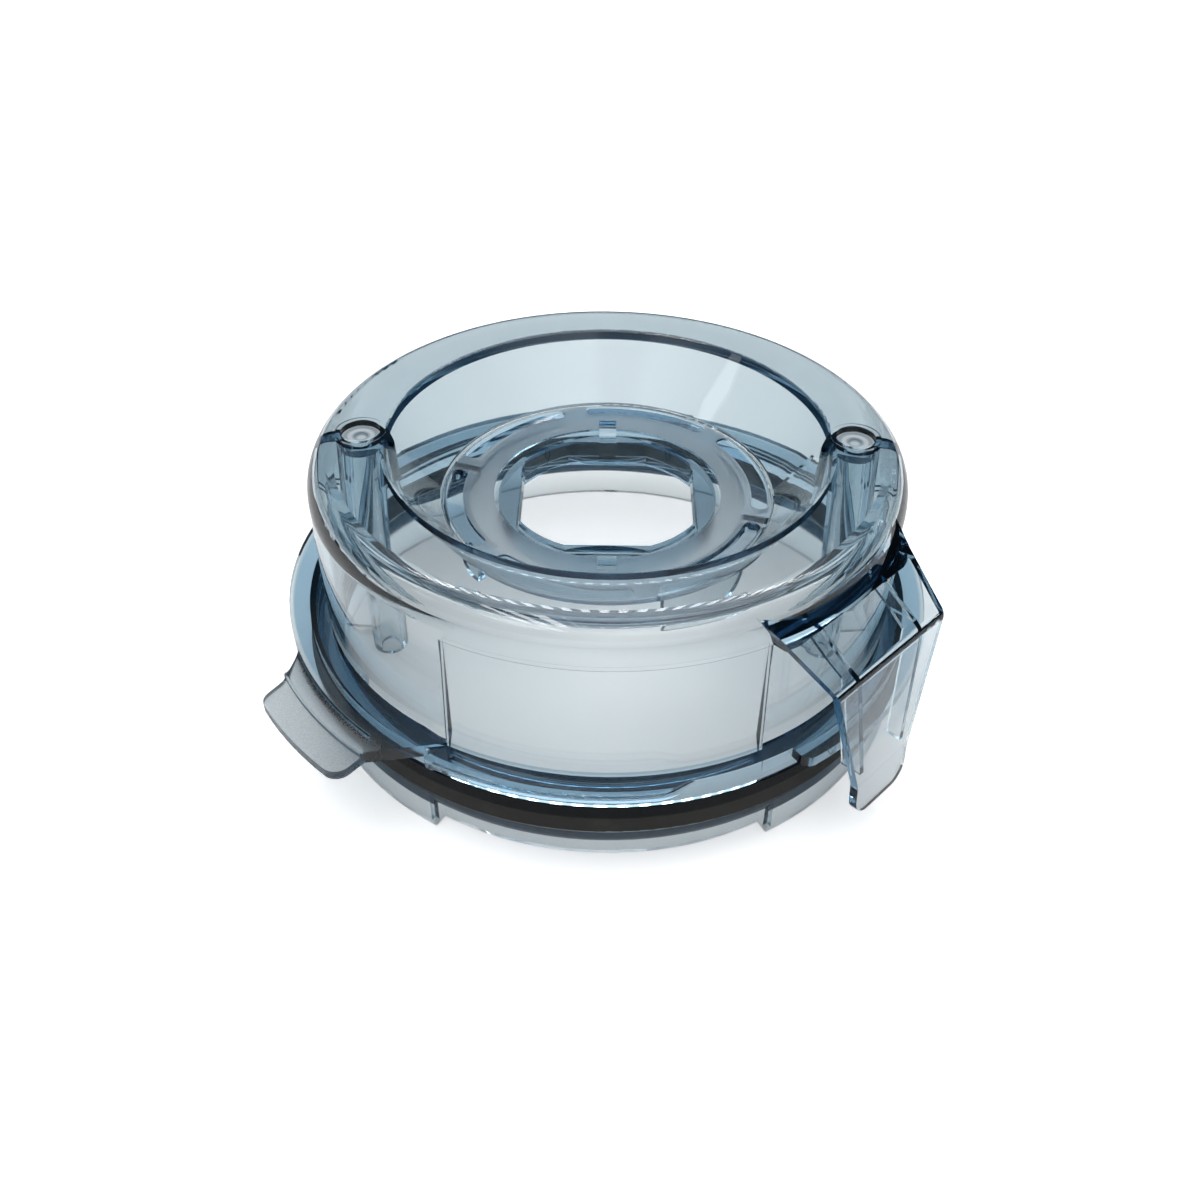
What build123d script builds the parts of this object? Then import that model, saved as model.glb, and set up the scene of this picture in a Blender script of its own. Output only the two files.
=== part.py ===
from build123d import *
import math
import os

# Clear plastic lid of a blender jar with its black rubber seal ring.
# Millimetres. Z is up along the lid's axis, and z = 0 is the underside of the
# flange, which sits on the jar's rim. The front of the lid faces -Y.

# Overlap of forms that are joined, and a cutter's reach past the lid
overlap = 1.0
small_overlap = 0.2
cutter_reach = 150.0
full_turn = 360.0

# Outer shell
wall = 2.6
rim_radius = 80.0
rim_rounding = 8.0
rim_inner_rounding = 3.4
rim_height = 47.0
side_draft = 0.4
front_flare = 1.7
front_flare_drop = 3.0
front_start_angle = -118.5
front_end_angle = -61.8

# Well in the top
ring_width = 20.3
ring_rise = 1.0
well_edge_rounding = 1.2
well_depth = 17.7
well_draw_in = 14.4
floor_wall = 2.6
floor_rounding = 1.5

# Plug opening, its collar and the dish and key slots around it
opening_radius = 27.4
opening_flat_x = 3.8
opening_flat_y = 2.4
collar_wall = 2.6
collar_depth = 9.1
ledge_depth = 5.6
ledge_relief = 0.8
dish_margin = 1.2
dish_depth = 0.6
key_width = 5.0
key_inner_reach = 3.0
key_outer_reach = 11.0
front_key_set_back = 4.7
key_depth = 1.4
key_wall_depth = 1.8
key_wall_drop = 7.9

# Six curved plug tracks in the well's floor
track_margin = 1.1
track_width = 4.6
track_span_angle = 51.0
track_pitch_angle = 60.0
track_axis_angle = -16.5
track_shallow = 0.6
track_deep = 3.6
track_fade = 36.0
track_wall = 1.8
track_reach = 60.0

# Two baffles under the well's floor
baffle_inset = 0.7
baffle_wall = 2.2
right_baffle_depth = 8.7
right_baffle_start_angle = -71.5
right_baffle_end_angle = -38.0
left_baffle_depth = 5.6
left_baffle_start_angle = -147.0
left_baffle_end_angle = -137.0
baffle_edge = 0.2

# Flange
flange_thickness = 3.0
flange_overhang = 5.4
plate_rise = 0.8
front_flange_overhang = 3.1
right_flange_rounding = 3.0
right_flange_angle = -57.0
back_plate_angle = 70.0
front_flange_left_angle = -119.5
front_flange_right_angle = -82.0
front_flange_end_angle = 1.0
front_flange_rounding = 0.8
swoop_angle = -73.0
swoop_turn_angle = 88.0

# Seal groove and lower skirt
shoulder_reach = 4.9
shoulder_depth = 4.1
groove_depth = 1.4
groove_wall = 3.6
groove_height = 8.1
lip_set_back = 0.5
lip_thickness = 2.6
lip_bulge = 1.0
skirt_wall = 2.2
skirt_depth = 11.9
front_skirt_set_in = 3.8
apron_depth = 3.4
skirt_gap_left_angle = -121.0
skirt_gap_right_angle = -60.0
skirt_step_angle = 1.5

# Thumb tab
tab_reach = 6.1
tab_grip_length = 8.0
tab_corner = 4.0
tab_shoulder_rise = 0.8
tab_shoulder_fall = 0.6
tab_step = 1.2
tab_root_angle = -155.3
tab_shoulder_angle = -149.5
tab_end_angle = -128.0
tab_corner_angle = 2.0
tab_slant_angle = 1.0
grip_offset = 2.7
grip_sink = 1.3
grip_width = 5.6
grip_run_out_angle = 5.0
plate_cut_inset = 0.5
plate_cut_angle = -117.9
plate_cut_sweep_angle = 6.0

# Posts under the top ring
post_inset = 6.3
post_foot_diameter = 10.5
post_top_diameter = 13.4
post_bore = 6.0
post_crown = 6.5
post_lift = 0.2
post_ring_diameter = 13.4
post_ring_wall = 1.3
post_ring_height = 0.4
post_recess_depth = 1.3
post_dimple_diameter = 3.6
post_dimple_depth = 0.6
web_thickness = 2.2
web_lift = 6.7
head_inner_width = 8.6
head_inner_reach = 7.4
head_outer_width = 5.4
head_depth = 16.0

# Spout hood
hood_direction_angle = -44.4
hood_root_drop = 7.3
hood_run = 14.3
hood_drop = 10.0
hood_face_run = 3.5
hood_face_drop = 35.5
hood_foot_run = 0.8
hood_foot_drop = 10.7
hood_plate = 2.3
hood_fold_rounding = 3.4
hood_head_half = 27.2
hood_root_half = 25.0
hood_fold_half = 21.5
hood_low_half = 10.6
hood_bottom_corner = 5.5
hood_side_rounding = 7.0
hood_head_drop = 3.0
hood_head_rise = 20.0
hood_run_in = 14.0
hood_fillet_radius = 12.5
hood_fillet_angle = 30.0
hood_rib_depth = 4.0
hood_rib_width = 1.5
hood_rib_top = 12.8
hood_rib_fold = 13.6
hood_rib_low = 9.2
hood_rib_lift = 2.8

# Seal ring
seal_clearance = 0.05
seal_upper_stand = 0.3
seal_lower_stand = 1.1
seal_flare = 4.4
seal_edge = 0.6
seal_rounding = 0.5

# Radii that follow from those above
inner_radius = rim_radius - wall
side_foot_radius = rim_radius - side_draft
front_foot_radius = side_foot_radius + front_flare
well_edge_radius = rim_radius - ring_width
floor_radius = well_edge_radius - well_draw_in
opening_half_x = opening_radius - opening_flat_x
opening_half_y = opening_radius - opening_flat_y
collar_radius = opening_radius + collar_wall
dish_radius = collar_radius + dish_margin
back_key_start = opening_half_y - key_inner_reach
front_key_start = opening_half_y + front_key_set_back
key_reach = opening_half_y + key_outer_reach
baffle_outer = floor_radius - baffle_inset
baffle_inner = baffle_outer - baffle_wall
track_outer = floor_radius - track_margin
track_inner = track_outer - track_width
shoulder_radius = side_foot_radius + shoulder_reach
flange_radius = shoulder_radius + flange_overhang
front_flange_radius = shoulder_radius + front_flange_overhang
groove_radius = shoulder_radius - groove_depth
groove_inner = groove_radius - groove_wall
lip_radius = shoulder_radius - lip_set_back
front_skirt_radius = lip_radius - front_skirt_set_in
seal_upper_radius = shoulder_radius + seal_upper_stand
seal_lower_radius = shoulder_radius + seal_lower_stand
tab_inner_radius = flange_radius + tab_reach
tab_outer_radius = tab_inner_radius + tab_grip_length
grip_radius = flange_radius + grip_offset
plate_cut_radius = front_foot_radius - plate_cut_inset
post_place = well_edge_radius + post_inset
post_ring_inner = post_ring_diameter - 2 * post_ring_wall
head_inner_end = post_place - head_inner_reach
hood_root_radius = rim_radius
hood_fold_radius = hood_root_radius + hood_run
hood_low_radius = hood_fold_radius + hood_face_run
hood_bottom_radius = hood_low_radius + hood_foot_run
hood_head_radius = hood_root_radius - hood_run_in
hood_trim_radius = inner_radius + small_overlap

# Heights and slopes that follow from those above
ring_underside = rim_height - wall
wall_top = rim_height - rim_rounding
front_flare_top = wall_top - front_flare_drop
flare_start_radius = side_foot_radius + side_draft * front_flare_top / wall_top
well_edge_height = rim_height + ring_rise
floor_height = well_edge_height - well_depth
collar_bottom = floor_height - collar_depth
ledge_height = floor_height - ledge_depth
key_bottom = floor_height - key_wall_drop
plate_thickness = flange_thickness + plate_rise
tab_thickness = plate_thickness - tab_step
groove_top = -shoulder_depth
groove_bottom = groove_top - groove_height
lip_bottom = groove_bottom - lip_thickness
skirt_bottom = lip_bottom - skirt_depth
apron_bottom = lip_bottom - apron_depth
lip_middle = (groove_bottom + apron_bottom) / 2
post_bottom = skirt_bottom + post_lift
post_bore_top = rim_height - post_crown
web_bottom = skirt_bottom + web_lift
head_bottom = rim_height - head_depth
cone_slope = well_depth / well_draw_in
cone_shift = wall * math.hypot(1, cone_slope) / cone_slope
cone_head = floor_radius + cone_shift + (ring_underside - floor_height) / cone_slope
cone_foot = floor_radius + cone_shift - floor_wall / cone_slope
hood_root_height = rim_height - hood_root_drop
hood_fold_height = hood_root_height - hood_drop
hood_low_height = hood_fold_height - hood_face_drop
hood_bottom = hood_low_height - hood_foot_drop
hood_rib_bottom = hood_low_height + hood_rib_lift
hood_slope = hood_drop / hood_run
hood_head_height = hood_root_height + hood_run_in * hood_slope
hood_head_top = rim_height - hood_head_drop


def polar(radius, angle):
    return (radius * math.cos(math.radians(angle)), radius * math.sin(math.radians(angle)))


def upright_plane(angle):
    """Upright plane through the axis: x runs outwards at this angle and y runs up."""
    out_x, out_y = polar(1, angle)
    return Plane(origin=(0, 0, 0), x_dir=(out_x, out_y, 0), z_dir=(out_y, -out_x, 0))


def front_plane(angle):
    """Upright plane that faces outwards at this angle: x runs sideways and y runs up."""
    out_x, out_y = polar(1, angle)
    return Plane(origin=(0, 0, 0), x_dir=(-out_y, out_x, 0), z_dir=(out_x, out_y, 0))


def ring_top(radius):
    """Height of the top ring's upper face at a radius."""
    fall = (well_edge_height - rim_height) / (rim_radius - well_edge_radius)
    return well_edge_height - (radius - well_edge_radius) * fall


def well_wall_radius(height):
    """Radius of the well wall's outer face at a height."""
    return floor_radius + cone_shift + (height - floor_height) / cone_slope


def soften(sketch, point, radius):
    """Round the corner of the open sketch that is nearest to a point."""
    fillet(sketch.vertices().sort_by_distance(point)[0], radius)


def sector(inner, outer, start, end):
    """Face of the open sketch between two radii and two angles."""
    middle = (start + end) / 2
    with BuildLine() as outline:
        far = ThreePointArc(polar(outer, start), polar(outer, middle), polar(outer, end))
        near = ThreePointArc(polar(inner, start), polar(inner, middle), polar(inner, end))
        Line(far @ 0, near @ 0)
        Line(far @ 1, near @ 1)
    make_face(outline.edges())


# Shell of revolution: top ring, outer wall, well and seal groove
with BuildPart() as shell:
    with BuildSketch(Plane.XZ) as shell_profile:
        with BuildLine():
            Polyline(
                (0, floor_height),
                (floor_radius, floor_height),
                (well_edge_radius, well_edge_height),
                (rim_radius, rim_height),
                (side_foot_radius, flange_thickness),
                (shoulder_radius, flange_thickness),
                (shoulder_radius, groove_top),
                (groove_radius, groove_top),
                (groove_radius, groove_bottom),
                (lip_radius - lip_bulge, groove_bottom),
                (lip_radius - lip_bulge, lip_bottom),
                (groove_inner, lip_bottom),
                (groove_inner, groove_top),
                (side_foot_radius - wall, flange_thickness + wall),
                (inner_radius, ring_underside),
                (cone_head, ring_underside),
                (cone_foot, floor_height - floor_wall),
                (0, floor_height - floor_wall),
                close=True,
            )
        make_face()
        soften(shell_profile, (rim_radius, rim_height), rim_rounding)
        soften(shell_profile, (inner_radius, ring_underside), rim_inner_rounding)
        soften(shell_profile, (well_edge_radius, well_edge_height), well_edge_rounding)
        soften(shell_profile, (floor_radius, floor_height), floor_rounding)
    revolve(axis=Axis.Z)

# Front panel of the wall, which flares out towards its foot
with BuildPart() as front_panel:
    with BuildSketch(upright_plane(front_start_angle)):
        with BuildLine():
            Polyline(
                (flare_start_radius, front_flare_top),
                (front_foot_radius, 0),
                (side_foot_radius - wall / 2, 0),
                (flare_start_radius - wall / 2, front_flare_top),
                close=True,
            )
        make_face()
    revolve(axis=Axis.Z, revolution_arc=front_end_angle - front_start_angle)

# Matching relief inside the front panel, which keeps its wall even
with BuildPart() as front_relief:
    with BuildSketch(upright_plane(front_start_angle)):
        with BuildLine():
            Polyline(
                (flare_start_radius - wall - overlap, front_flare_top),
                (flare_start_radius - wall, front_flare_top),
                (front_foot_radius - wall, flange_thickness),
                (groove_inner, groove_top),
                (groove_inner - overlap, groove_top),
                (side_foot_radius - wall - overlap, flange_thickness + wall),
                close=True,
            )
        make_face()
    revolve(axis=Axis.Z, revolution_arc=front_end_angle - front_start_angle)

# Flange on the right, behind the hood
with BuildPart() as right_flange:
    with BuildSketch():
        sector(groove_inner, flange_radius, right_flange_angle, back_plate_angle)
    extrude(amount=flange_thickness)
    flange_corner = (*polar(flange_radius, right_flange_angle), 0)
    corner_edge = right_flange.edges().filter_by(Axis.Z).sort_by_distance(flange_corner)[0]
    fillet(corner_edge, right_flange_rounding)

# Plate of the flange at the left and back
with BuildPart() as back_plate:
    with BuildSketch() as plate_outline:
        sector(groove_inner, flange_radius, back_plate_angle, full_turn + tab_end_angle)
        with BuildLine():
            Polyline(
                polar(plate_cut_radius, plate_cut_angle),
                polar(tab_inner_radius - overlap, tab_end_angle),
                polar(groove_inner, tab_end_angle - plate_cut_sweep_angle),
                close=True,
            )
        make_face()
    extrude(amount=plate_thickness)

# Wide front part of the flange, which swings in to the shoulder on its right
with BuildPart() as front_flange:
    with BuildSketch() as front_outline:
        middle = (front_flange_left_angle + front_flange_right_angle) / 2
        end_radius = (shoulder_radius + front_flange_radius) / 2
        with BuildLine():
            left_end = ThreePointArc(
                polar(shoulder_radius - overlap, front_flange_left_angle),
                polar(end_radius, front_flange_left_angle - front_flange_end_angle),
                polar(front_flange_radius, front_flange_left_angle + front_flange_end_angle),
            )
            rim_arc = ThreePointArc(
                left_end @ 1,
                polar(front_flange_radius, middle),
                polar(front_flange_radius, front_flange_right_angle),
            )
            swoop = Spline(
                rim_arc @ 1,
                polar(shoulder_radius - small_overlap, swoop_angle),
                tangents=(rim_arc % 1, polar(1, swoop_angle + swoop_turn_angle)),
            )
            near = ThreePointArc(
                polar(groove_inner, front_flange_left_angle),
                polar(groove_inner, middle),
                polar(groove_inner, swoop_angle),
            )
            Line(swoop @ 1, near @ 1)
            Line(near @ 0, left_end @ 0)
        make_face()
    extrude(amount=flange_thickness)
    for height in (0, flange_thickness):
        level_edges = front_flange.edges().filter_by_position(Axis.Z, height, height)
        fillet(level_edges.sort_by_distance((*polar(front_flange_radius, middle), height))[0], front_flange_rounding)

# Bulging bead of the lip, and its deeper apron at the front
with BuildPart() as lip_bead:
    with BuildSketch(Plane.XZ):
        with BuildLine() as bead_line:
            bead_arc = ThreePointArc(
                (lip_radius - lip_bulge, groove_bottom),
                (lip_radius, lip_middle),
                (lip_radius - lip_bulge, apron_bottom),
            )
            Polyline(
                bead_arc @ 1,
                (lip_radius - lip_bulge - small_overlap, apron_bottom),
                (lip_radius - lip_bulge - small_overlap, groove_bottom),
                bead_arc @ 0,
            )
        make_face()
    revolve(axis=Axis.Z)
    with BuildSketch(Plane.XY.offset(apron_bottom)):
        sector(front_skirt_radius - small_overlap, lip_radius - lip_bulge, skirt_gap_left_angle, skirt_gap_right_angle)
    extrude(amount=lip_bottom - apron_bottom)

# Lower skirt: outer wall at the sides and back, set in at the front
with BuildPart() as skirt:
    with BuildSketch(Plane.XY.offset(lip_bottom)):
        sector(lip_radius - skirt_wall, lip_radius, skirt_gap_right_angle, full_turn + skirt_gap_left_angle)
        step_start = skirt_gap_left_angle - skirt_step_angle
        step_end = skirt_gap_right_angle + skirt_step_angle
        sector(front_skirt_radius - skirt_wall, front_skirt_radius, step_start, step_end)
        for side in (step_start, skirt_gap_right_angle):
            sector(front_skirt_radius - skirt_wall, lip_radius, side, side + skirt_step_angle)
    extrude(amount=skirt_bottom - lip_bottom)

# Thumb tab with its sunk grip
with BuildPart() as tab:
    with BuildSketch() as tab_outline:
        rim_middle = (tab_shoulder_angle + tab_end_angle) / 2
        root_middle = (tab_root_angle + tab_end_angle) / 2
        with BuildLine():
            tab_rim = ThreePointArc(
                polar(tab_outer_radius, tab_shoulder_angle + tab_corner_angle),
                polar(tab_outer_radius, rim_middle),
                polar(tab_outer_radius, tab_end_angle),
            )
            tab_root = ThreePointArc(
                polar(groove_inner, tab_root_angle),
                polar(groove_inner, root_middle),
                polar(groove_inner, tab_end_angle),
            )
            Line(tab_root @ 1, tab_rim @ 1)
            Polyline(
                tab_rim @ 0,
                polar(tab_inner_radius + tab_shoulder_rise, tab_shoulder_angle),
                polar(tab_inner_radius - tab_shoulder_fall, tab_shoulder_angle - tab_slant_angle),
                polar(flange_radius - small_overlap, tab_root_angle),
                tab_root @ 0,
            )
        make_face()
        soften(tab_outline, tab_rim @ 0, tab_corner)
        soften(tab_outline, tab_rim @ 1, tab_corner)
    extrude(amount=plate_thickness)
    with BuildSketch(Plane.XY.offset(tab_thickness)):
        step_end = tab_end_angle + tab_corner_angle
        sector(tab_inner_radius, tab_outer_radius + overlap, tab_root_angle, step_end)
    extrude(amount=plate_thickness, mode=Mode.SUBTRACT)
    with BuildSketch(upright_plane(tab_root_angle - grip_run_out_angle)):
        with Locations((grip_radius, plate_thickness)):
            Ellipse(grip_width / 2, grip_sink)
    grip_arc = tab_end_angle - tab_root_angle + 2 * grip_run_out_angle
    revolve(axis=Axis.Z, revolution_arc=grip_arc, mode=Mode.SUBTRACT)

# The hood's root fillet touches the rim's rounding and the sloping plate
slope_length = math.hypot(hood_run, hood_drop)
along_x, along_z = (hood_run / slope_length, -hood_drop / slope_length)
out_x, out_z = (-along_z, along_x)
from_root_x, from_root_z = (rim_radius - rim_rounding - hood_root_radius, wall_top - hood_root_height)
rounding_out = from_root_x * out_x + from_root_z * out_z
rounding_along = from_root_x * along_x + from_root_z * along_z
centre_distance = rim_rounding + hood_fillet_radius
fillet_gap = math.sqrt(centre_distance ** 2 - (hood_fillet_radius - rounding_out) ** 2)
foot_along = rounding_along + fillet_gap
fillet_foot = (hood_root_radius + foot_along * along_x, hood_root_height + foot_along * along_z)
fillet_centre = (
    fillet_foot[0] + hood_fillet_radius * out_x,
    fillet_foot[1] + hood_fillet_radius * out_z,
)
head_share = rim_rounding / centre_distance
fillet_head = (
    rim_radius - rim_rounding + head_share * (fillet_centre[0] - rim_radius + rim_rounding),
    wall_top + head_share * (fillet_centre[1] - wall_top),
)

# Spout hood: a folded plate with its root fillet
with BuildPart() as hood:
    with BuildSketch(upright_plane(hood_direction_angle)) as hood_section:
        with BuildLine() as hood_line:
            FilletPolyline(
                (hood_head_radius, hood_head_height),
                (hood_fold_radius, hood_fold_height),
                (hood_low_radius, hood_low_height),
                (hood_bottom_radius, hood_bottom),
                radius=hood_fold_rounding,
            )
            offset(amount=hood_plate, side=Side.RIGHT, closed=True)
        make_face()
    extrude(amount=hood_head_half + overlap, both=True)
    with BuildSketch(upright_plane(hood_direction_angle - hood_fillet_angle)):
        with BuildLine():
            Polyline(
                fillet_head,
                (hood_trim_radius, fillet_head[1]),
                (hood_trim_radius, fillet_foot[1] - overlap),
                (fillet_foot[0], fillet_foot[1] - overlap),
                fillet_foot,
            )
            RadiusArc(fillet_head, fillet_foot, -hood_fillet_radius)
        make_face()
    revolve(axis=Axis.Z, revolution_arc=2 * hood_fillet_angle)
    with BuildSketch(front_plane(hood_direction_angle)) as hood_outline:
        with BuildLine():
            Polyline(
                (hood_head_half, hood_head_top + hood_head_rise),
                (hood_head_half, hood_head_top),
                (hood_root_half, hood_root_height),
                (hood_fold_half, hood_fold_height),
                (hood_low_half, hood_low_height),
                (hood_low_half, hood_bottom),
                (-hood_low_half, hood_bottom),
                (-hood_low_half, hood_low_height),
                (-hood_fold_half, hood_fold_height),
                (-hood_root_half, hood_root_height),
                (-hood_head_half, hood_head_top),
                (-hood_head_half, hood_head_top + hood_head_rise),
                close=True,
            )
        make_face()
        for side in (-1, 1):
            soften(hood_outline, (side * hood_fold_half, hood_fold_height), hood_side_rounding)
            soften(hood_outline, (side * hood_low_half, hood_bottom), hood_bottom_corner)
            soften(hood_outline, (side * hood_low_half, hood_low_height), hood_side_rounding)
    extrude(amount=cutter_reach, mode=Mode.INTERSECT)
    with BuildSketch(Plane.XY.offset(skirt_bottom)):
        Circle(hood_trim_radius)
    extrude(amount=cutter_reach, mode=Mode.SUBTRACT)

# The hood's two ribs, behind its plate
rib_head = hood_head_top + hood_head_rise
with BuildPart() as hood_ribs:
    with BuildSketch(upright_plane(hood_direction_angle)):
        with BuildLine() as rib_line:
            FilletPolyline(
                (hood_head_radius, hood_head_height),
                (hood_fold_radius, hood_fold_height),
                (hood_low_radius, hood_low_height),
                radius=hood_fold_rounding,
            )
            offset(amount=hood_plate + hood_rib_depth, side=Side.RIGHT, closed=True)
        make_face()
    extrude(amount=hood_head_half, both=True)
    with BuildSketch(front_plane(hood_direction_angle)):
        for side in (-1, 1):
            with BuildLine():
                Polyline(
                    (side * (hood_rib_top - hood_rib_width), rib_head),
                    (side * hood_rib_top, rib_head),
                    (side * hood_rib_fold, hood_fold_height),
                    (side * hood_rib_low, hood_rib_bottom),
                    (side * (hood_rib_low - hood_rib_width), hood_rib_bottom),
                    (side * (hood_rib_fold - hood_rib_width), hood_fold_height),
                    close=True,
                )
            make_face()
    extrude(amount=cutter_reach, mode=Mode.INTERSECT)
    with BuildSketch(Plane.XY.offset(skirt_bottom)):
        Circle(hood_trim_radius)
    extrude(amount=cutter_reach, mode=Mode.SUBTRACT)

# Plug tracks: six curved grooves, deepest beside one cross axis of the well
track_plane = Plane(
    origin=(0, 0, floor_height),
    x_dir=(*polar(1, track_axis_angle + 90), 0),
    z_dir=(*polar(1, track_axis_angle), 0),
)
track_angles = [track_axis_angle + track_pitch_angle * (step + 0.5) for step in range(6)]


def ramp(drop, floor_lift):
    """Solid with a roof-shaped underside, as deep as the tracks and a drop."""
    with BuildSketch(track_plane) as section:
        with BuildLine():
            Polyline(
                (-track_reach, floor_lift),
                (-track_reach, -track_shallow - drop),
                (-track_fade, -track_shallow - drop),
                (0, -track_deep - drop),
                (track_fade, -track_shallow - drop),
                (track_reach, -track_shallow - drop),
                (track_reach, floor_lift),
                close=True,
            )
        make_face()
    extrude(section.sketch, amount=track_reach, both=True)


with BuildPart() as track_grooves:
    ramp(0, overlap)
    with BuildSketch(Plane.XY) as groove_sectors:
        for angle in track_angles:
            sector(track_inner, track_outer, angle - track_span_angle / 2, angle + track_span_angle / 2)
        fillet(groove_sectors.vertices(), (track_outer - track_inner) / 2 - small_overlap)
    extrude(amount=2 * floor_height, mode=Mode.INTERSECT)

with BuildPart() as track_walls:
    ramp(track_wall, -floor_wall / 2)
    with BuildSketch(Plane.XY):
        for angle in track_angles:
            margin = math.degrees(track_wall / track_inner)
            sector(
                track_inner - track_wall,
                track_outer + track_wall,
                angle - track_span_angle / 2 - margin,
                angle + track_span_angle / 2 + margin,
            )
    extrude(amount=2 * floor_height, mode=Mode.INTERSECT)

# Baffles: short curved walls with one rounded end each
with BuildPart() as baffles:
    floor_underside = floor_height - floor_wall
    for start, end, depth, round_angle in (
        (right_baffle_start_angle, right_baffle_end_angle, right_baffle_depth, right_baffle_end_angle),
        (left_baffle_start_angle, left_baffle_end_angle, left_baffle_depth, left_baffle_start_angle),
    ):
        with BuildPart() as baffle:
            with BuildSketch(Plane.XY.offset(floor_underside - depth)):
                sector(baffle_inner, baffle_outer, start, end)
            extrude(amount=depth + small_overlap)
            round_point = (*polar((baffle_inner + baffle_outer) / 2, round_angle), floor_underside - depth)
            fillet(baffle.edges().sort_by_distance(round_point)[0], depth - baffle_edge)
        add(baffle.part)

# Tapered posts with their rings, and the webs that tie them to the outer wall
post_top = ring_underside + overlap
with BuildPart() as posts:
    for side in (0, 180):
        post_x, post_y = polar(post_place, side)
        with BuildSketch(Plane((post_x, post_y, 0), x_dir=(1, 0, 0), z_dir=(0, -1, 0))):
            with BuildLine():
                Polyline(
                    (0, post_bottom),
                    (post_foot_diameter / 2, post_bottom),
                    (post_top_diameter / 2, post_top),
                    (0, post_top),
                    close=True,
                )
            make_face()
        revolve(axis=Axis((post_x, post_y, 0), (0, 0, 1)))
        with BuildSketch(Plane((post_x, post_y, rim_height - overlap))):
            Circle(post_ring_diameter / 2)
        extrude(amount=overlap + ring_top(post_place) - rim_height + post_ring_height)
        with BuildSketch(upright_plane(side)):
            with BuildLine():
                Polyline(
                    (post_place, web_bottom),
                    (groove_inner + overlap, web_bottom),
                    (groove_inner + overlap, 0),
                    (inner_radius + overlap, flange_thickness + wall),
                    (inner_radius + overlap, wall_top),
                    (rim_radius - rim_rounding, ring_underside + overlap),
                    (post_place, ring_underside + overlap),
                    close=True,
                )
            make_face()
        extrude(amount=web_thickness / 2, both=True)

# Lobes of the posts' heads, which end inside the rim's rounding
head_inner_length = post_place - head_inner_end - head_inner_width / 2
head_outer_length = rim_radius - post_place
with BuildPart() as post_heads:
    for side in (0, 180):
        with BuildSketch(Plane.XY.offset(head_bottom)):
            with Locations(polar(post_place - head_inner_length / 2, side)):
                SlotCenterToCenter(head_inner_length, head_inner_width)
            with Locations(polar(post_place + head_outer_length / 2, side)):
                Rectangle(head_outer_length, head_outer_width)
        extrude(amount=rim_height - head_bottom)
    with BuildSketch(Plane.XZ) as head_limit:
        with BuildLine():
            Polyline(
                (0, head_bottom),
                (inner_radius + wall / 2, head_bottom),
                (rim_radius - wall / 2, rim_height - wall / 2),
                (0, rim_height - wall / 2),
                close=True,
            )
        make_face()
        soften(head_limit, (rim_radius - wall / 2, rim_height - wall / 2), rim_rounding - wall / 2)
    revolve(axis=Axis.Z, mode=Mode.INTERSECT)

# Whole clear moulding
with BuildPart() as lid_body:
    add(shell.part)
    add(front_panel.part)
    add(front_relief.part, mode=Mode.SUBTRACT)
    add(right_flange.part)
    add(back_plate.part)
    add(front_flange.part)
    add(lip_bead.part)
    add(skirt.part)
    add(tab.part)
    add(hood.part)
    add(hood_ribs.part)
    add(baffles.part)
    add(track_walls.part)
    add(track_grooves.part, mode=Mode.SUBTRACT)
    with BuildSketch(Plane.XY.offset(collar_bottom)):
        Circle(collar_radius)
    extrude(amount=floor_height - dish_depth - collar_bottom)
    with BuildSketch(Plane.XY.offset(floor_height - dish_depth)):
        Circle(dish_radius)
    extrude(amount=dish_depth + overlap, mode=Mode.SUBTRACT)
    add(posts.part)
    add(post_heads.part)
    for side in (0, 180):
        post_x, post_y = polar(post_place, side)
        recess_floor = ring_top(post_place) - post_recess_depth
        with BuildSketch(Plane((post_x, post_y, recess_floor))):
            Circle(post_ring_inner / 2)
        extrude(amount=post_recess_depth + overlap, mode=Mode.SUBTRACT)
        with BuildSketch(Plane((post_x, post_y, recess_floor - post_dimple_depth))):
            Circle(post_dimple_diameter / 2)
        extrude(amount=post_dimple_depth + overlap, mode=Mode.SUBTRACT)
        with BuildSketch(Plane((post_x, post_y, post_bottom))):
            Circle(post_bore / 2)
        extrude(amount=post_bore_top - post_bottom, mode=Mode.SUBTRACT)
    with BuildSketch(Plane.XY.offset(collar_bottom)):
        Circle(opening_radius)
        Rectangle(2 * opening_half_x, 2 * opening_half_y, mode=Mode.INTERSECT)
    extrude(amount=2 * floor_height, mode=Mode.SUBTRACT)
    with BuildSketch(Plane.XY.offset(collar_bottom)):
        Circle(opening_radius + ledge_relief)
        Rectangle(
            2 * (opening_half_x + ledge_relief),
            2 * (opening_half_y + ledge_relief),
            mode=Mode.INTERSECT,
        )
    extrude(amount=ledge_height - collar_bottom, mode=Mode.SUBTRACT)
    for side, key_start in ((-90, front_key_start), (90, back_key_start)):
        with BuildSketch(Plane.XY.offset(floor_height - dish_depth - key_depth)):
            with Locations(polar((key_start + key_reach) / 2, side)):
                Rectangle(key_width, key_reach - key_start)
        extrude(amount=2 * key_depth, mode=Mode.SUBTRACT)
    with BuildSketch(Plane.XY.offset(key_bottom)):
        with Locations(polar((back_key_start + opening_half_y + key_wall_depth) / 2, 90)):
            Rectangle(key_width, opening_half_y + key_wall_depth - back_key_start)
    extrude(amount=floor_height - key_bottom, mode=Mode.SUBTRACT)
    lid_body.part.label = "lid_body"

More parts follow.
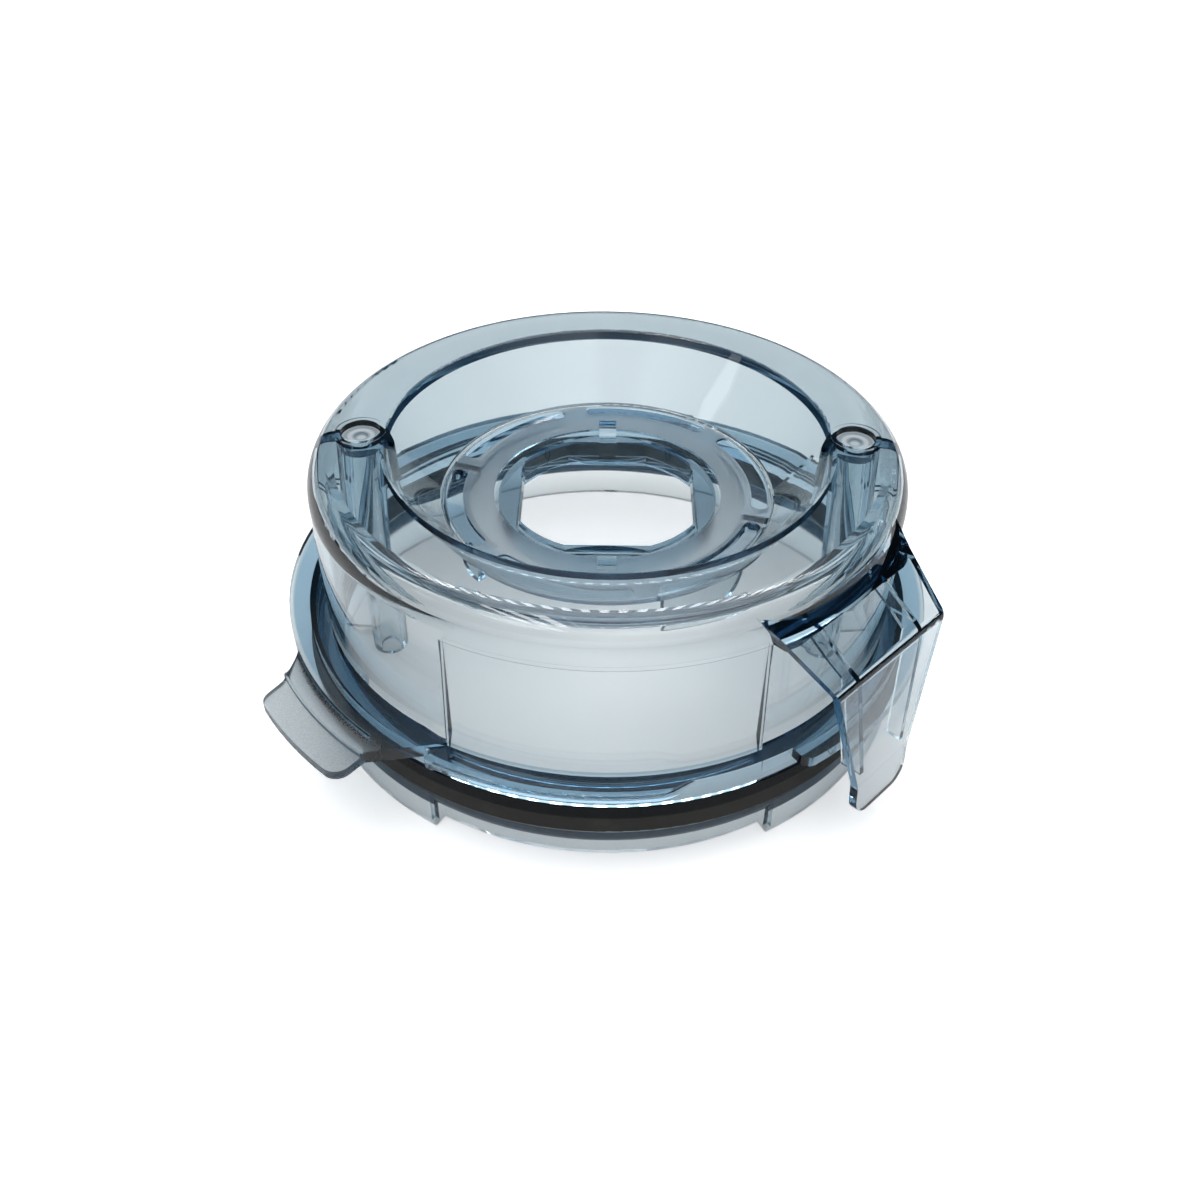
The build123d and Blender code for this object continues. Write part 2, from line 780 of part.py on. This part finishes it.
# Seal ring of black rubber, stretched into the groove
with BuildPart() as seal_ring:
    with BuildSketch(Plane.XZ) as seal_profile:
        with BuildLine():
            Polyline(
                (groove_radius + seal_clearance, groove_top - seal_clearance),
                (seal_upper_radius, groove_top - seal_clearance),
                (seal_upper_radius, groove_top - seal_flare),
                (seal_lower_radius, groove_bottom + seal_edge + seal_clearance),
                (seal_lower_radius, groove_bottom + seal_clearance),
                (groove_radius + seal_clearance, groove_bottom + seal_clearance),
                close=True,
            )
        make_face()
        soften(seal_profile, (seal_lower_radius, groove_bottom + seal_clearance), seal_rounding)
    revolve(axis=Axis.Z)
    seal_ring.part.label = "seal_ring"

os.makedirs("parts", exist_ok=True)
export_step(lid_body.part, "parts/lid_body.step")
export_step(seal_ring.part, "parts/seal_ring.step")
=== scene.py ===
import math

import bpy
from mathutils import Matrix, Vector


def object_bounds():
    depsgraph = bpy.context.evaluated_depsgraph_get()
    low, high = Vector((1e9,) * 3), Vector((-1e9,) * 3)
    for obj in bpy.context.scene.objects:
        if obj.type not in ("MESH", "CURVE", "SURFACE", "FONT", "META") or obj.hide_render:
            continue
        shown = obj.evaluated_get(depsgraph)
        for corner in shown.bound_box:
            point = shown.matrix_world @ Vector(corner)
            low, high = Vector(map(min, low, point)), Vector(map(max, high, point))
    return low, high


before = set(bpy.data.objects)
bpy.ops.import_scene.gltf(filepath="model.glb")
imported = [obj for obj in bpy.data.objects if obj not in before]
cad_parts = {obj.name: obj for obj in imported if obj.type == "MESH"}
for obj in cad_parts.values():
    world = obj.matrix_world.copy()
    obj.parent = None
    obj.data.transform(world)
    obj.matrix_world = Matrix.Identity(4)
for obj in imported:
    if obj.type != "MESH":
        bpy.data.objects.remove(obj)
cad_box = [list(corner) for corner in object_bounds()]
scene = bpy.context.scene
scene.view_settings.view_transform = "Standard"

# Light paths through many clear walls
scene.cycles.max_bounces = 20
scene.cycles.transmission_bounces = 14
scene.cycles.glossy_bounces = 16
scene.cycles.diffuse_bounces = 3

# Camera at the photograph's viewing angle
CAMERA_ELEVATION = math.radians(39.56)
CAMERA_ROLL = math.radians(0.72)
CAMERA_PLACE = (-0.001615, -0.27408, 0.21696)
CAMERA_NEAR = 0.01
LENS = 35.93
SENSOR = 36

# Floor, with a share of its white as a glow for the camera, less of it through the clear walls
FLOOR_SIZE = 6
FLOOR_ROUGHNESS = 0.9
FLOOR_COLOUR = (0.9, 0.9, 0.9, 1)
FLOOR_COLOUR_THROUGH = (0.68, 0.675, 0.66, 1)
FLOOR_GLOW = (1, 1, 1, 1)
FLOOR_GLOW_LEVEL = 0.55
FLOOR_GLOW_THROUGH = 0.64

# Studio: colour by height, as the sine of the angle above the horizon
BACKDROP = (0.97, 0.97, 0.97, 1)
SKY_STOPS = (
    (0.0, (0.04, 0.08, 0.12, 1)),
    (0.62, (0.05, 0.09, 0.13, 1)),
    (0.78, (1.15, 1.17, 1.18, 1)),
    (0.95, (1.6, 1.6, 1.6, 1)),
)

# Gaps between the panels overhead: slant, rate, the wave's values where a gap ends, and the level in it
PANEL_SLANT = 0.45
PANEL_RATE = 3.2
PANEL_GAP_END = (-0.95, -0.55)
PANEL_GAP_LEVEL = 0.45

# Rows of lamps: two runs to the right and two to the back, over the ceiling's height, then pitch and level
LAMP_ROWS = (
    (-0.50, 0.60, 0.54, 0.67, 0.036, 11.0),
    (-0.42, -0.12, -0.50, 0.10, 0.100, 9.0),
    (-1.36, -1.14, -0.44, -0.20, 10.0, 1.6),
)
LAMP_SOFT_SIDE = 0.01
LAMP_SOFT_BACK = 0.004
LAMP_LOWEST = 0.1

# Soft light overhead
SOFTBOX_PLACE = (0.1, 0.3, 1.2)
SOFTBOX_TARGET = (0, 0, 0.02)
SOFTBOX_SIDE = 1.0
SOFTBOX_POWER = 3

# Zones of the clear moulding that get painted shade, in metres: lowest, highest and soft edge
FLOOR_RADII = (0.0312, 0.0445, 0.0002)
FLOOR_HEIGHTS = (0.0299, 0.0307, 0.0002)
COLLAR_RADII = (0.0245, 0.0309, 0.0003)
COLLAR_HEIGHTS = (0.0205, 0.0293, 0.0003)
TRACK_RADII = (0.0394, 0.0444, 0.0002)
TRACK_HEIGHTS = (0.0262, 0.0299, 0.0001)
FLANGE_RADII = (0.0802, 0.0888, 0.0004)
FLANGE_TOP_HEIGHTS = (0.0027, 0.0044, 0.0001)
FLANGE_FOOT_HEIGHTS = (-0.0042, 0.0025, 0.0001)
LIP_RADII = (0.0827, 0.0846, 0.0001)
LIP_HEIGHTS = (-0.0185, -0.0139, 0.0003)
STEP_RADII = (0.0793, 0.0816, 0.0001)
STEP_HEIGHTS = (0.0044, 0.0362, 0.0004)

# Zones round the axis, in radians: first, last and soft edge
STEP_ANGLES = (math.radians(-118.5), math.radians(-61.8))
STEP_HALF_ANGLE = 0.0042
STEP_SOFT_ANGLE = 0.001
HOOD_ANGLES = (math.radians(-64), math.radians(-22), 0.01)
TAB_ANGLES = (math.radians(-157), math.radians(-126), 0.02)

# Fades, in metres: where each starts and where it is full
PLATE_FADE_HEIGHTS = (0.0034, 0.0038)
HOOD_FADE_RADII = (0.0808, 0.0816)
HOOD_FADE_HEIGHTS = (0.0046, 0.0052)
TAB_FADE_RADII = (0.0875, 0.0925)
TAB_FADE_HEIGHTS = (0.0005, 0.0012)
GRIP_FADE_RADII = (0.0899, 0.096)

# Recessed tops of the two posts, painted pale as a reflection with fine rings of painted shade, giving up
# part of their clearness to that painted colour
POST_PLACE = 0.066
POST_EDGE_RADII = (0.0051, 0.0053)
POST_FADE_HEIGHTS = (0.044, 0.0444)
POST_RING_PITCH = 0.0024
POST_RING_EDGE = (-0.8, 0.8)
POST_PAINT_SHARE = 0.6

# Colours of the clear plastic: its own tone, varying at random, then painted shade and painted reflection
# on zones, deep and pale where they vary
CLEAR_DEEP = (0.972, 0.978, 0.972, 1)
CLEAR_PALE = (0.988, 0.989, 0.982, 1)
# The well's frosted floor, painted darker blue-grey as shade
FLOOR_PAINTED_SHADE = (0.74, 0.81, 0.86, 1)
# The collar, painted darker blue as shade
COLLAR_PAINTED_SHADE = (0.58, 0.72, 0.81, 1)
# The tracks, painted darker blue as shade
TRACK_PAINTED_SHADE = (0.46, 0.63, 0.76, 1)
# The flange and its raised plates, painted deeper blue as shade, in streaks
FLANGE_SHADE_DEEP = (0.50, 0.68, 0.80, 1)
FLANGE_SHADE_PALE = (0.66, 0.80, 0.88, 1)
PLATE_SHADE_DEEP = (0.30, 0.45, 0.57, 1)
PLATE_SHADE_PALE = (0.46, 0.61, 0.72, 1)
# A dark band painted on the lip as shade
LIP_PAINTED_SHADE = (0.002, 0.005, 0.010, 1)
# Dark lines painted as shade beside the front panel
STEP_PAINTED_SHADE = (0.003, 0.008, 0.018, 1)
# The hood, streaked with painted shade and painted reflection
HOOD_SHADE_DEEP = (0.86, 0.91, 0.94, 1)
HOOD_SHADE_PALE = (0.96, 0.97, 0.97, 1)
# The tab, painted dark at its root and paler out on the grip, as shade
TAB_ROOT_SHADE = (0.16, 0.20, 0.23, 1)
TAB_GRIP_SHADE = (0.56, 0.59, 0.60, 1)
# Post tops: painted shade in the rings, painted reflection between them
POST_SHADE_DEEP = (0.42, 0.50, 0.55, 1)
POST_REFLECTION_PALE = (0.74, 0.80, 0.83, 1)

# Texture of the clear plastic: noise scales, the noise's values at both ends of a change, and results
PLASTIC_IOR = 1.54
PLASTIC_ABSORPTION = (0.22, 0.46, 0.6, 1)
PLASTIC_DENSITY = 106.0
GRAIN_SCALE = 2600
GRAIN_RANGE = (0.3, 0.7)
GRAIN_DEPTH = 0.00006
GRAIN_STRENGTH = 0.9
FROST_ROUGHNESS = (0.28, 0.42)
SPECKLE_RANGE = (0.35, 0.65)
SPECKLE_SHARE = 0.35
SMUDGE_SCALE = 38
SMUDGE_RANGE = (0.45, 0.75)
SMUDGE_TINT_RANGE = (0.3, 0.8)
CLEAR_ROUGHNESS = (0.012, 0.045)
STREAK_SCALE = 60
STREAK_STRETCH = (1, 1, 0.2)
FLOW_SCALE = 16
FLOW_STRETCH = (1, 1, 0.35)
FLOW_ROUGHNESS = 0.55
FLOW_DEPTH = 0.0004
FLOW_STRENGTH = 0.25
NOISE_ROUGHNESS = 0.6

# Black rubber: painted darker above, as shade under the flange, lighter on its flare, a little dust on
# both, with a pale line at the foot
RUBBER_UPPER_SHADE = ((0.002, 0.003, 0.004, 1), (0.006, 0.007, 0.008, 1))
RUBBER_FLARE = ((0.038, 0.037, 0.033, 1), (0.056, 0.054, 0.048, 1))
RUBBER_FOOT = (0.13, 0.11, 0.09, 1)
RUBBER_FLARE_HEIGHTS = (-0.0086, -0.0074)
RUBBER_FOOT_HEIGHTS = (-0.01195, -0.01155)
RUBBER_GRAIN_SCALE = 1500
RUBBER_GRAIN_DEPTH = 0.00005
RUBBER_GRAIN_STRENGTH = 0.6
RUBBER_ROUGHNESS = (0.42, 0.58)
RUBBER_SPECULAR = 0.14
DUST_SCALE = 60
DUST_ROUGHNESS = 0.65
DUST_RANGE = (0.52, 0.75)


class Graph:
    """A node tree, wired by short calls."""

    def __init__(self, tree):
        self.nodes = tree.nodes
        self.links = tree.links
        self.nodes.clear()

    def wire(self, node, given):
        """The node, with a value or another node's output on each input that is given."""
        for name, value in given.items():
            if isinstance(value, bpy.types.NodeSocket):
                self.links.new(value, node.inputs[name])
            else:
                node.inputs[name].default_value = value
        return node

    def add(self, kind, given):
        return self.wire(self.nodes.new(kind), given)

    def math(self, operation, *values):
        node = self.nodes.new("ShaderNodeMath")
        node.operation = operation
        return self.wire(node, dict(enumerate(values))).outputs[0]

    def times(self, first, *others):
        for other in others:
            first = self.math("MULTIPLY", first, other)
        return first

    def hypotenuse(self, first, second):
        return self.math("SQRT", self.math("ADD", self.times(first, first), self.times(second, second)))

    def vector(self, operation, given):
        node = self.nodes.new("ShaderNodeVectorMath")
        node.operation = operation
        return self.wire(node, given).outputs[0]

    def ramp(self, value, low, high, to_low=0.0, to_high=1.0):
        node = self.nodes.new("ShaderNodeMapRange")
        node.interpolation_type = "SMOOTHSTEP"
        given = {"Value": value, "From Min": low, "From Max": high, "To Min": to_low, "To Max": to_high}
        return self.wire(node, given).outputs["Result"]

    def band(self, value, low, high, soft):
        """1 between two values, with soft ends."""
        rise = self.ramp(value, low - soft, low + soft)
        return self.times(rise, self.ramp(value, high - soft, high + soft, 1.0, 0.0))

    def mix(self, share, low, high):
        node = self.nodes.new("ShaderNodeMix")
        node.data_type = "RGBA"
        return self.wire(node, {0: share, 6: low, 7: high}).outputs[2]

    def split(self, vector):
        return self.add("ShaderNodeSeparateXYZ", {0: vector}).outputs

    def mix_shaders(self, share, low, high):
        return self.add("ShaderNodeMixShader", {0: share, 1: low, 2: high}).outputs[0]


class Surface(Graph):
    """A material with one main shader."""

    def __init__(self, name):
        self.material = bpy.data.materials.new(name)
        self.material.use_nodes = True
        super().__init__(self.material.node_tree)
        self.shader = self.nodes.new("ShaderNodeBsdfPrincipled")
        self.output = self.add("ShaderNodeOutputMaterial", {"Surface": self.shader.outputs[0]})


class LidSurface(Surface):
    """A material that knows the radius from the lid's axis, the angle round it and the height."""

    def __init__(self, name):
        super().__init__(name)
        self.place = self.nodes.new("ShaderNodeTexCoord").outputs["Object"]
        self.x, self.y, self.height = self.split(self.place)
        self.radius = self.hypotenuse(self.x, self.y)
        self.angle = self.math("ARCTAN2", self.y, self.x)

    def noise(self, scale, detail, roughness, place=None):
        given = {"Vector": place or self.place, "Scale": scale, "Detail": detail, "Roughness": roughness}
        return self.add("ShaderNodeTexNoise", given).outputs["Fac"]

    def stretched(self, scale):
        return self.add("ShaderNodeMapping", {"Vector": self.place, "Scale": scale}).outputs["Vector"]

    def bump(self, height, distance, strength, under=None):
        """A normal with a texture on it, over another bump where one is given."""
        given = {"Height": height, "Distance": distance, "Strength": strength}
        if under is not None:
            given["Normal"] = under
        return self.add("ShaderNodeBump", given).outputs["Normal"]

    def ring(self, radii, heights):
        """1 between two radii and two heights."""
        return self.times(self.band(self.radius, *radii), self.band(self.height, *heights))

    def sector(self, angles, fade_radii, fade_heights):
        """1 between two angles, outside a radius and over a height."""
        outside = self.ramp(self.radius, *fade_radii)
        return self.times(self.band(self.angle, *angles), outside, self.ramp(self.height, *fade_heights))


def flange_shade_zone(graph):
    """Zone of painted shade on the flange's top and foot, apart from the sides of its raised plates."""
    top = graph.band(graph.height, *FLANGE_TOP_HEIGHTS)
    foot = graph.band(graph.height, *FLANGE_FOOT_HEIGHTS)
    return graph.times(graph.band(graph.radius, *FLANGE_RADII), graph.math("ADD", top, foot))


def step_shade_line(graph, angle):
    """Dark line of painted shade on the narrow face beside the front panel."""
    line = graph.band(graph.angle, angle - STEP_HALF_ANGLE, angle + STEP_HALF_ANGLE, STEP_SOFT_ANGLE)
    return graph.times(line, graph.ring(STEP_RADII, STEP_HEIGHTS))


def colour_with_painted_shade(graph, floor_zone, grip_zone, grain, smudge):
    """Colour of the moulding: its own tone, then painted shade and painted reflection, zone over zone."""
    streaks = graph.noise(STREAK_SCALE, 2, NOISE_ROUGHNESS, graph.stretched(STREAK_STRETCH))
    # Streaky painted shade: deeper blue on the flange, deeper still on its raised plates
    flange_shade = graph.mix(streaks, FLANGE_SHADE_DEEP, FLANGE_SHADE_PALE)
    plate_shade = graph.mix(streaks, PLATE_SHADE_DEEP, PLATE_SHADE_PALE)
    flange_shade = graph.mix(graph.ramp(graph.height, *PLATE_FADE_HEIGHTS), flange_shade, plate_shade)
    # Painted shade on the tab: dark at its root, paler out on the grip
    tab_shade = graph.mix(graph.ramp(graph.radius, *GRIP_FADE_RADII), TAB_ROOT_SHADE, TAB_GRIP_SHADE)
    speckles = graph.times(graph.ramp(grain, *SPECKLE_RANGE), SPECKLE_SHARE)
    layers = [
        (floor_zone, FLOOR_PAINTED_SHADE),
        (graph.ring(COLLAR_RADII, COLLAR_HEIGHTS), COLLAR_PAINTED_SHADE),
        (graph.ring(TRACK_RADII, TRACK_HEIGHTS), TRACK_PAINTED_SHADE),
        (flange_shade_zone(graph), flange_shade),
        # painted shade: a dark band on the lip
        (graph.ring(LIP_RADII, LIP_HEIGHTS), LIP_PAINTED_SHADE),
    ]
    # Dark lines of painted shade beside the front panel
    layers += [(step_shade_line(graph, angle), STEP_PAINTED_SHADE) for angle in STEP_ANGLES]
    # Painted shade and painted reflection in streaks on the hood
    hood = graph.sector(HOOD_ANGLES, HOOD_FADE_RADII, HOOD_FADE_HEIGHTS)
    layers.append((hood, graph.mix(streaks, HOOD_SHADE_DEEP, HOOD_SHADE_PALE)))
    layers.append((grip_zone, graph.mix(speckles, tab_shade, TAB_ROOT_SHADE)))
    colour = graph.mix(graph.ramp(smudge, *SMUDGE_TINT_RANGE), CLEAR_DEEP, CLEAR_PALE)
    # Each zone gets its painted shade or painted reflection over the plastic's own tone
    for zone, painted_light in layers:
        colour = graph.mix(zone, colour, painted_light)
    return colour


def post_tops(graph):
    """Zone of the recesses on top of the posts, and their painted reflection with rings of painted shade.
    """
    from_post = graph.math("SUBTRACT", graph.math("ABSOLUTE", graph.x), POST_PLACE)
    radius = graph.hypotenuse(from_post, graph.y)
    inside = graph.ramp(radius, *POST_EDGE_RADII, 1.0, 0.0)
    rings = graph.math("SINE", graph.times(radius, 2 * math.pi / POST_RING_PITCH))
    painted_light = graph.mix(graph.ramp(rings, *POST_RING_EDGE), POST_SHADE_DEEP, POST_REFLECTION_PALE)
    return graph.times(inside, graph.ramp(graph.height, *POST_FADE_HEIGHTS)), painted_light


def clear_plastic():
    """Blue-tinted clear plastic with frosted zones on the well's floor and the tab's grip, and painted
    shade and painted reflection on zones of it.
    """
    graph = LidSurface("clear_blue_plastic")
    floor_zone = graph.ring(FLOOR_RADII, FLOOR_HEIGHTS)
    grip_zone = graph.sector(TAB_ANGLES, TAB_FADE_RADII, TAB_FADE_HEIGHTS)
    frost = graph.math("MAXIMUM", floor_zone, grip_zone)
    grain = graph.noise(GRAIN_SCALE, 1, NOISE_ROUGHNESS)
    smudge = graph.noise(SMUDGE_SCALE, 2, NOISE_ROUGHNESS)
    unfrosted = graph.math("SUBTRACT", 1.0, frost)
    clear = graph.times(graph.ramp(smudge, *SMUDGE_RANGE, *CLEAR_ROUGHNESS), unfrosted)
    frosted = graph.times(graph.ramp(grain, *GRAIN_RANGE, *FROST_ROUGHNESS), frost)
    # Post tops: painted reflection with rings of painted shade
    post_zone, post_painted_light = post_tops(graph)
    flow = graph.noise(FLOW_SCALE, 1, FLOW_ROUGHNESS, graph.stretched(FLOW_STRETCH))
    waves = graph.bump(flow, FLOW_DEPTH, FLOW_STRENGTH)
    graph.wire(graph.shader, {
        "Base Color": graph.mix(post_zone, colour_with_painted_shade(graph, floor_zone, grip_zone, grain, smudge), post_painted_light),
        "Roughness": graph.math("ADD", clear, frosted),
        "IOR": PLASTIC_IOR,
        # The post tops give up part of their clearness to their painted colour
        "Transmission Weight": graph.math("SUBTRACT", 1.0, graph.times(post_zone, POST_PAINT_SHARE)),
        "Normal": graph.bump(grain, GRAIN_DEPTH, graph.times(frost, GRAIN_STRENGTH), waves),
    })
    inside = {"Color": PLASTIC_ABSORPTION, "Density": PLASTIC_DENSITY}
    graph.wire(graph.output, {"Volume": graph.add("ShaderNodeVolumeAbsorption", inside).outputs[0]})
    return graph.material


def black_rubber():
    """Matte black rubber with fine grain and a little dust, painted darker above as shade under the
    flange.
    """
    graph = LidSurface("black_rubber")
    grain = graph.noise(RUBBER_GRAIN_SCALE, 3, NOISE_ROUGHNESS)
    dust = graph.ramp(graph.noise(DUST_SCALE, 5, DUST_ROUGHNESS), *DUST_RANGE)
    shaded_upper = graph.mix(dust, *RUBBER_UPPER_SHADE)
    flare = graph.mix(dust, *RUBBER_FLARE)
    # Painted shade: darker above, under the flange, lighter on the flare
    rubber = graph.mix(graph.ramp(graph.height, *RUBBER_FLARE_HEIGHTS), flare, shaded_upper)
    foot = graph.ramp(graph.height, *RUBBER_FOOT_HEIGHTS, 1.0, 0.0)
    graph.wire(graph.shader, {
        "Base Color": graph.mix(foot, rubber, RUBBER_FOOT),
        "Specular IOR Level": RUBBER_SPECULAR,
        "Roughness": graph.ramp(grain, *GRAIN_RANGE, *RUBBER_ROUGHNESS),
        "Normal": graph.bump(grain, RUBBER_GRAIN_DEPTH, RUBBER_GRAIN_STRENGTH),
    })
    return graph.material


def pale_floor():
    """White floor with the object's shadow, clear from below."""
    graph = Surface("pale_floor")
    path = graph.nodes.new("ShaderNodeLightPath").outputs
    through = graph.times(path["Is Transmission Ray"], FLOOR_GLOW_THROUGH)
    glow = graph.times(graph.math("MAXIMUM", path["Is Camera Ray"], through), FLOOR_GLOW_LEVEL)
    graph.wire(graph.shader, {
        "Base Color": graph.mix(path["Is Transmission Ray"], FLOOR_COLOUR, FLOOR_COLOUR_THROUGH),
        "Roughness": FLOOR_ROUGHNESS,
        "Specular IOR Level": 0.0,
        "Emission Color": FLOOR_GLOW,
        "Emission Strength": glow,
    })
    below = graph.nodes.new("ShaderNodeNewGeometry").outputs["Backfacing"]
    clear = graph.nodes.new("ShaderNodeBsdfTransparent").outputs[0]
    graph.wire(graph.output, {"Surface": graph.mix_shaders(below, graph.shader.outputs[0], clear)})
    return graph.material


def dress(node, material):
    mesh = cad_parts[node].data
    mesh.materials.clear()
    mesh.materials.append(material)
    for face in mesh.polygons:
        face.use_smooth = True
        face.material_index = 0


def ceiling(graph, height, side_run, back_run):
    """Bright panels overhead, with gaps between them, over dark surroundings."""
    ramp = graph.add("ShaderNodeValToRGB", {"Fac": height})
    stops = ramp.color_ramp.elements
    stops[0].position, stops[0].color = SKY_STOPS[0]
    stops[1].position, stops[1].color = SKY_STOPS[-1]
    for place, colour in SKY_STOPS[1:-1]:
        stops.new(place).color = colour
    across = graph.math("ADD", side_run, graph.times(back_run, PANEL_SLANT))
    wave = graph.math("SINE", graph.times(across, PANEL_RATE))
    panels = graph.ramp(wave, *PANEL_GAP_END, PANEL_GAP_LEVEL, 1.0)
    return graph.vector("SCALE", {0: ramp.outputs["Color"], "Scale": panels})


def lamps(graph, height, side_run, back_run):
    """Rows of small lamps on the ceiling."""
    light = 0.0
    for left, right, front, back, pitch, level in LAMP_ROWS:
        across = graph.band(side_run, left, right, LAMP_SOFT_SIDE)
        along = graph.band(back_run, front, back, LAMP_SOFT_BACK)
        wave = graph.math("COSINE", graph.times(side_run, 2 * math.pi / pitch))
        row = graph.times(across, along, graph.math("GREATER_THAN", wave, 0.0), level)
        light = graph.math("ADD", row, light)
    return graph.times(light, graph.math("GREATER_THAN", height, LAMP_LOWEST))


def sky():
    """Studio light, behind a plain backdrop for the camera."""
    world = bpy.data.worlds.new("studio")
    scene.world = world
    world.use_nodes = True
    graph = Graph(world.node_tree)
    x, y, height = graph.split(graph.nodes.new("ShaderNodeTexCoord").outputs["Generated"])
    runs = (graph.math("DIVIDE", x, height), graph.math("DIVIDE", y, height))
    light = graph.vector("ADD", {0: ceiling(graph, height, *runs), 1: lamps(graph, height, *runs)})
    background = graph.add("ShaderNodeBackground", {"Color": light}).outputs[0]
    backdrop = graph.add("ShaderNodeBackground", {"Color": BACKDROP}).outputs[0]
    seen = graph.nodes.new("ShaderNodeLightPath").outputs["Is Camera Ray"]
    graph.add("ShaderNodeOutputWorld", {"Surface": graph.mix_shaders(seen, background, backdrop)})


def softbox():
    data = bpy.data.lights.new("softbox_top", "AREA")
    data.shape = "RECTANGLE"
    data.size = SOFTBOX_SIDE
    data.size_y = SOFTBOX_SIDE
    data.energy = SOFTBOX_POWER
    lamp = bpy.data.objects.new("softbox_top", data)
    scene.collection.objects.link(lamp)
    lamp.location = SOFTBOX_PLACE
    aim = Vector(SOFTBOX_TARGET) - Vector(SOFTBOX_PLACE)
    lamp.rotation_euler = aim.to_track_quat("-Z", "Y").to_euler()


def photo_camera():
    data = bpy.data.cameras.new("camera")
    data.lens = LENS
    data.sensor_width = SENSOR
    data.clip_start = CAMERA_NEAR
    camera = bpy.data.objects.new("camera", data)
    scene.collection.objects.link(camera)
    camera.location = CAMERA_PLACE
    tilt = Matrix.Rotation(math.pi / 2 - CAMERA_ELEVATION, 4, "X")
    camera.rotation_euler = (tilt @ Matrix.Rotation(CAMERA_ROLL, 4, "Z")).to_euler()
    return camera


dress("lid_body", clear_plastic())
dress("seal_ring", black_rubber())

bpy.ops.mesh.primitive_plane_add(size=FLOOR_SIZE, location=(0, 0, cad_box[0][2]))
floor = bpy.context.object
floor.name = "floor"
floor.data.materials.append(pale_floor())

sky()
softbox()
scene.camera = photo_camera()

bpy.context.view_layer.update()
